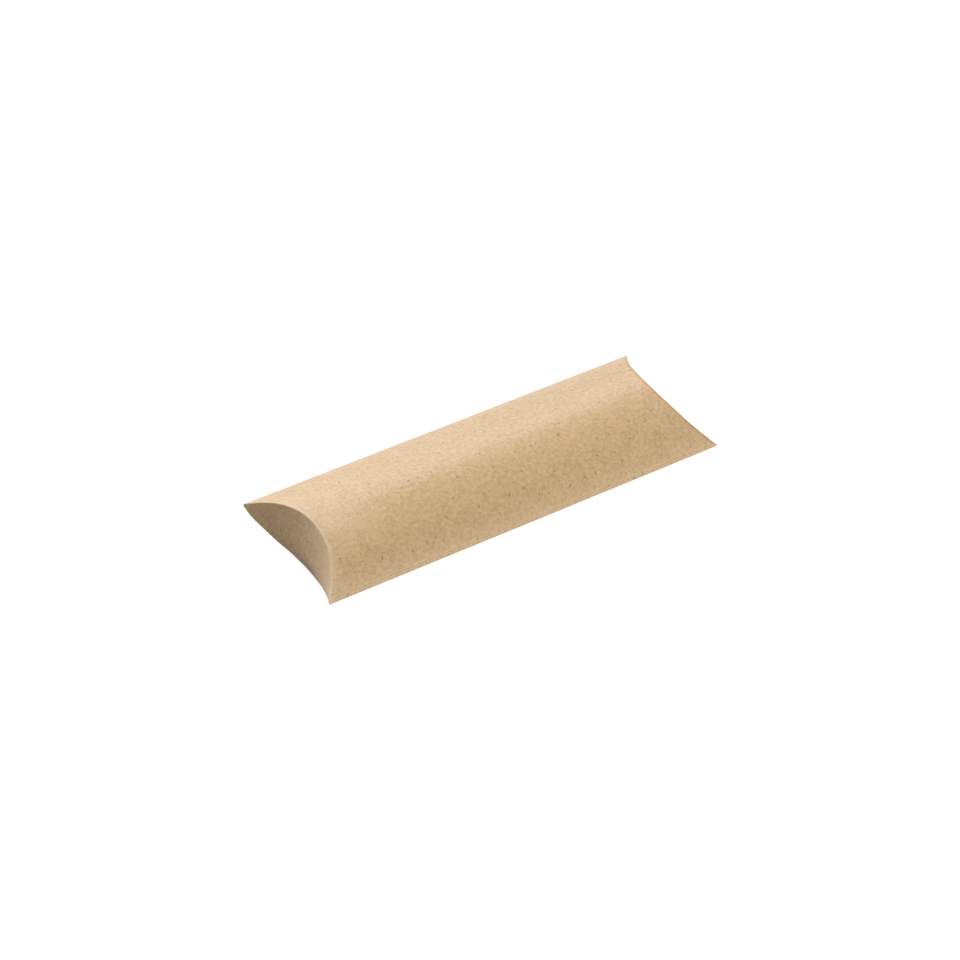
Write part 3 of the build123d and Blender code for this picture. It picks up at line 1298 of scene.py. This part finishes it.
    def outer_flap(self) -> Sheet:
        """The outer flap: the end wall's upright arc, from the upper crease down to its free edge."""
        shape = self.shape
        across = self.stations
        share, sink = self.flap_shares()
        top = shape.upper(across, self.drop(across))
        height = top + (self.free_edge(across) - top) * share
        outer = as_points(shape.end(self.end, across, sink), across, height)
        inner = as_points(shape.end(self.end, across, shape.card - sink), across, height)
        under = shape.upper(across) - height
        blank = as_points(outer[..., 0] + under, shape.girth(across))
        # The flap is darkened towards its free edge by painted shade
        return Sheet(outer, inner, blank, shape.creased(self.end, across, 0.0, under), self.painted_shading(outer))

    def lower_crease(self) -> Sheet:
        """The lower crease: the lower wall's card turned up, behind the outer flap, into the inner one.

        Under the outer flap's free edge its corner bulges out, by the ledge times exp(-(distance / radius)^2).
        """
        shape = self.shape
        across = self.stations
        border = self.tube.lower_border
        front = shape.card + self.flap_clearance
        scale = np.maximum((self.tube.lower_depth(across) - front) / (border - front), 0.0)
        ledge = self.ledge * levelled(across / MM, self.ledge_shares)
        onset = eased(np.linspace(0.0, 1.0, self.crease_rows) / self.ledge_onset)
        faces = []
        for inset in (0.0, shape.card):
            corner = (front + inset, inset)
            ends = [(border, inset), corner, (corner[0], self.lip_top)]
            path = rounded_path(ends, self.lip_radius - inset, self.crease_rows)
            behind, over = path.T
            away = np.hypot(*(path - corner).T)
            bulge = ledge * onset * np.exp(-((away / self.ledge_radius) ** 2))
            behind = np.minimum(behind, front) + np.maximum(behind - front, 0.0) * scale - bulge
            faces.append(as_points(shape.end(self.end, across, behind), across, shape.lower(across, over)))
        along, _, height = np.moveaxis(faces[0], -1, 0)
        rise = height - shape.lower(across)
        blank = as_points(along + rise, -2 * shape.half_girth - shape.girth(across))
        # Near the corner the score finish lays painted shade along the crease
        to_corner = np.hypot(shape.end(self.end, across, front) - along, rise)
        return Sheet(*faces, blank, closeness(to_corner, 2 * shape.wear_reach))

    def inner_free_edge(self, across: Grid) -> Grid:
        """Height of the inner flap's free edge, which clears the upper wall as the flap swings in.

        The flap turns about the crown of its crease. The room over that line, squared, less the square of how far
        forward the free edge stands there, is the square of the height that the edge may have.
        """
        shape = self.shape
        hinge = shape.card
        front = shape.card + self.flap_clearance
        headroom = shape.upper(across, shape.card) - self.swing_clearance - hinge
        hinge_line = shape.end(self.end, np.array(0.0), front + shape.card)
        reach = shape.end(self.end, across, front) - hinge_line
        return hinge + np.sqrt(headroom**2 - reach**2)

    def inner_flap(self) -> Sheet:
        """The inner flap, behind the outer one, with cut sides and a cut free edge."""
        shape = self.shape
        half = shape.half_width * self.inner_width_share
        radius = self.tube.cut_radius
        front = shape.card + self.flap_clearance
        side = half - radius * CORNER
        middle = np.linspace(-(half - 2 * radius), half - 2 * radius, self.inner_columns)
        across = np.concatenate([-side[::-1], middle, side])[:, None]
        share, sink = self.flap_shares()
        sink = np.maximum(sink, radius - (half - np.abs(across)))
        root = shape.lower(across, self.lip_top)
        height = root + (self.inner_free_edge(across) - root) * share
        outer = as_points(shape.end(self.end, across, front + sink), across, height)
        inner = as_points(shape.end(self.end, across, front + shape.card - sink), across, height)
        rise = height - shape.lower(across)
        blank = as_points(outer[..., 0] + rise, -2 * shape.half_girth - shape.girth(across))
        to_edge = np.minimum(height[:, -1:] - height, half - np.abs(across))
        wear = np.maximum(closeness(to_edge, self.cut_wear), closeness(height - root, shape.wear_reach))
        return Sheet(outer, inner, blank, wear)

    def bend(self, flap: str, up: bool, reach: tuple[float, float]) -> tuple[str, Vector, Vector]:
        """How a flap bends from the tube, whose side of the crease's plane stays still, to its own body.

        Its two points lie along the plane's normal, into the box.

        Args:
            flap: the word for the flap in its body's name.
            up: whether the flap stands up from the lower crease, and doesn't hang from the upper one.
            reach: distances from the plane at which the bending starts and ends.

        Returns:
            The body, and the points where the bending starts and ends.
        """
        shape = self.shape
        crown = Vector((shape.end_at(self.end, 0.0), 0.0, 0.0 if up else shape.height))
        inwards = Vector((-1.0, 0.0, 1.0 if up else -1.0)).normalized()
        for vector in (crown, inwards):
            vector.x *= self.end.value
        return f"{self.end.label}_{flap}_flap", crown + inwards * reach[0], crown + inwards * reach[1]

    def pieces(self) -> Iterator[Piece]:
        """The end's pieces, from the upper crease down."""
        made = self.tube.finishes
        label = self.end.label
        lift = self.bend("outer", False, self.outer_bend)
        tuck = self.bend("inner", True, self.inner_bend)
        # The right upper crease takes the finish with a little painted shade, and each lower crease the one with more
        crease = made.face if self.end is End.LEFT else made.dull
        for name, sheet, face, slot, bend in (
            ("upper_crease", self.upper_crease(), crease, "card_fold", lift),
            ("outer_flap", self.outer_flap(), made.face, "card_flap", lift),
            ("lower_crease", self.lower_crease(), made.score, "card_fold", None),
            ("inner_flap", self.inner_flap(), made.face, "card_flap", tuck),
        ):
            node = f"{label}_{name}"
            yield Piece(node + "_card", sheet.at(self.end), made.of_card(face), node, slot, bend=bend)


@dataclass(frozen=True)
class Lamp:
    """A soft square lamp that faces the box.

    Attributes:
        name: name of the lamp.
        azimuth: direction of the lamp from the box, in degrees: 0 is towards -Y and 90 towards +X.
        elevation: its height over the table, in degrees.
        distance: how far it stands.
        size: length of its side.
        power: its power in watts.
        tint: its colour.
    """

    name: str
    azimuth: float
    elevation: float
    distance: float
    size: float
    power: float
    tint: Colour = WHITE

    def place(self, target: Vector) -> None:
        """Puts the lamp up, aimed at a point."""
        data = bpy.data.lights.new(self.name, "AREA")
        data.shape = "SQUARE"
        data.size = self.size
        data.energy = self.power
        data.color = self.tint
        away = direction(self.azimuth, self.elevation)
        lamp = new_object(self.name, data)
        lamp.location = target + away * self.distance
        lamp.rotation_euler = away.to_track_quat("Z", "Y").to_euler()
        lamp.visible_camera = False


@dataclass(frozen=True)
class Studio:
    """White floor, white surroundings and soft lamps.

    Attributes:
        centre: the point that the lamps face.
        lamps: the lamps.
        ambient: brightness of the surroundings for the light that falls on the box.
        floor_white: colour of the floor.
        floor_lift: brightness added to the floor where it is seen, which makes it white.
        floor_extra: more of it where the floor is looked at straight, which thins the shadow.
        floor_half: half of the floor's side.
    """

    centre: Vector
    lamps: tuple[Lamp, ...] = (
        Lamp("back key", -160.0, 35.0, 1.6, 0.7, 13.1, COOL),
        Lamp("left key", -135.0, 25.0, 1.6, 0.7, 7.7),
        Lamp("front fill", 30.0, 25.0, 1.8, 0.8, 13.1, WARM),
        Lamp("high fill", 12.0, 38.0, 1.8, 0.8, 11.7, WARM),
        Lamp("broad sheen", 165.0, 20.0, 1.6, 0.7, 7.2, COOL),
        Lamp("narrow sheen", 142.0, 32.0, 1.6, 0.4, 4.6, COOL),
    )
    ambient: float = 0.1
    floor_white: float = 0.45
    floor_lift: float = 0.55
    floor_extra: float = 0.25
    floor_half: float = 3.0

    def seen(self, w: Wiring) -> bpy.types.NodeSocket:
        """1 for what is looked at straight, in a reflection or through glass, and 0 for what gives light."""
        rays = w.add("ShaderNodeLightPath").outputs
        glossy = w.math("MAXIMUM", rays["Is Glossy Ray"], rays["Is Transmission Ray"])
        return w.math("MAXIMUM", rays["Is Camera Ray"], glossy)

    def surroundings(self) -> None:
        """White to look at, and dimmer as a source of light."""
        world = bpy.data.worlds.new("studio")
        bpy.context.scene.world = world
        w = Wiring.of(world)
        strength = w.math("MULTIPLY_ADD", self.seen(w), 1.0 - self.ambient, self.ambient)
        light = w.add("ShaderNodeBackground", {"Color": (*WHITE, 1.0), "Strength": strength})
        w.add("ShaderNodeOutputWorld", {"Surface": light.outputs[0]})

    def floor(self) -> None:
        """A white floor that keeps the shadow. From below it is clear, so that the underside shows."""
        half = self.floor_half
        mesh = bpy.data.meshes.new("floor")
        corners = [(-half, -half, 0.0), (half, -half, 0.0), (half, half, 0.0), (-half, half, 0.0)]
        mesh.from_pydata(corners, [], [(0, 1, 2, 3)])
        floor = new_object("floor", mesh)
        material = bpy.data.materials.new("white floor")
        w = Wiring.of(material)
        matt = w.add("ShaderNodeBsdfDiffuse", {"Color": (*[self.floor_white] * 3, 1.0)})
        straight = w.math("MULTIPLY", w.add("ShaderNodeLightPath").outputs["Is Camera Ray"], self.floor_extra)
        lift = w.math("MULTIPLY_ADD", self.seen(w), self.floor_lift, straight)
        glow = w.add("ShaderNodeEmission", {"Strength": lift})
        top = w.add("ShaderNodeAddShader", {0: matt.outputs[0], 1: glow.outputs[0]})
        clear = w.add("ShaderNodeBsdfTransparent")
        below = w.add("ShaderNodeNewGeometry").outputs["Backfacing"]
        both = w.add("ShaderNodeMixShader", {0: below, 1: top.outputs[0], 2: clear.outputs[0]})
        w.add("ShaderNodeOutputMaterial", {"Surface": both.outputs[0]})
        mesh.materials.append(material)
        floor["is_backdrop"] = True

    def build(self) -> None:
        """Sets the studio up."""
        self.surroundings()
        self.floor()
        for lamp in self.lamps:
            lamp.place(self.centre)
        bpy.context.scene.view_settings.view_transform = "Standard"


@dataclass(frozen=True)
class Viewpoint:
    """The photograph's camera.

    Attributes:
        azimuth: where it stands round the box, in degrees: 0 is towards -Y, and negative towards -X.
        elevation: how high it looks from, in degrees.
        roll: how far it is turned about its own line of sight, in degrees.
        distance: how far it stands from the box's centre.
        sensor: width of the camera's sensor, in millimetres.
        lens: focal length in millimetres.
        aside: how far the box's centre lies to the right of its line of sight.
        above: how far the centre lies above it.
        sight: it sees from its distance divided by this to its distance times this.
    """

    azimuth: float = -44.349
    elevation: float = 41.964
    roll: float = 11.383
    distance: float = 1.7813
    sensor: float = 36.0
    lens: float = 147.38
    aside: float = 1.196 * MM
    above: float = 2.124 * MM
    sight: float = 10.0

    def place(self, centre: Vector) -> None:
        """Sets the camera up before the box."""
        turn, roll = math.radians(self.azimuth), math.radians(self.roll)
        back = direction(self.azimuth, self.elevation)
        level = Vector((math.cos(turn), math.sin(turn), 0.0))
        upright = back.cross(level)
        right = level * math.cos(roll) + upright * math.sin(roll)
        up = upright * math.cos(roll) - level * math.sin(roll)
        camera = new_object("camera", bpy.data.cameras.new("camera"))
        camera.data.sensor_width = self.sensor
        camera.data.lens = self.lens
        camera.data.clip_start = self.distance / self.sight
        camera.data.clip_end = self.distance * self.sight
        place = centre + back * self.distance - right * self.aside - up * self.above
        turned = Matrix((right, up, back)).transposed().to_4x4()
        camera.matrix_world = Matrix.Translation(place) @ turned
        bpy.context.scene.camera = camera


def main() -> None:
    """Builds the box's pieces, the studio and the camera."""
    logging.basicConfig(level=logging.INFO, format="%(name)s: %(message)s")
    cad_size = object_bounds()
    lowest, highest = cad_size
    shape = BoxShape(highest.x - lowest.x, 2 * highest.y, highest.z)
    centre = Vector((0.0, 0.0, shape.tip_height))
    Viewpoint().place(centre)
    Studio(centre).build()
    tube = Tube(shape, Finishes.made())
    for group in (tube, EndFlaps(tube, End.LEFT), EndFlaps(tube, End.RIGHT)):
        for piece in group.pieces():
            made = piece.place()
            LOG.info("%s: %d faces, for %s", made.name, len(made.data.polygons), piece.node)


if __name__ == "__main__":
    main()
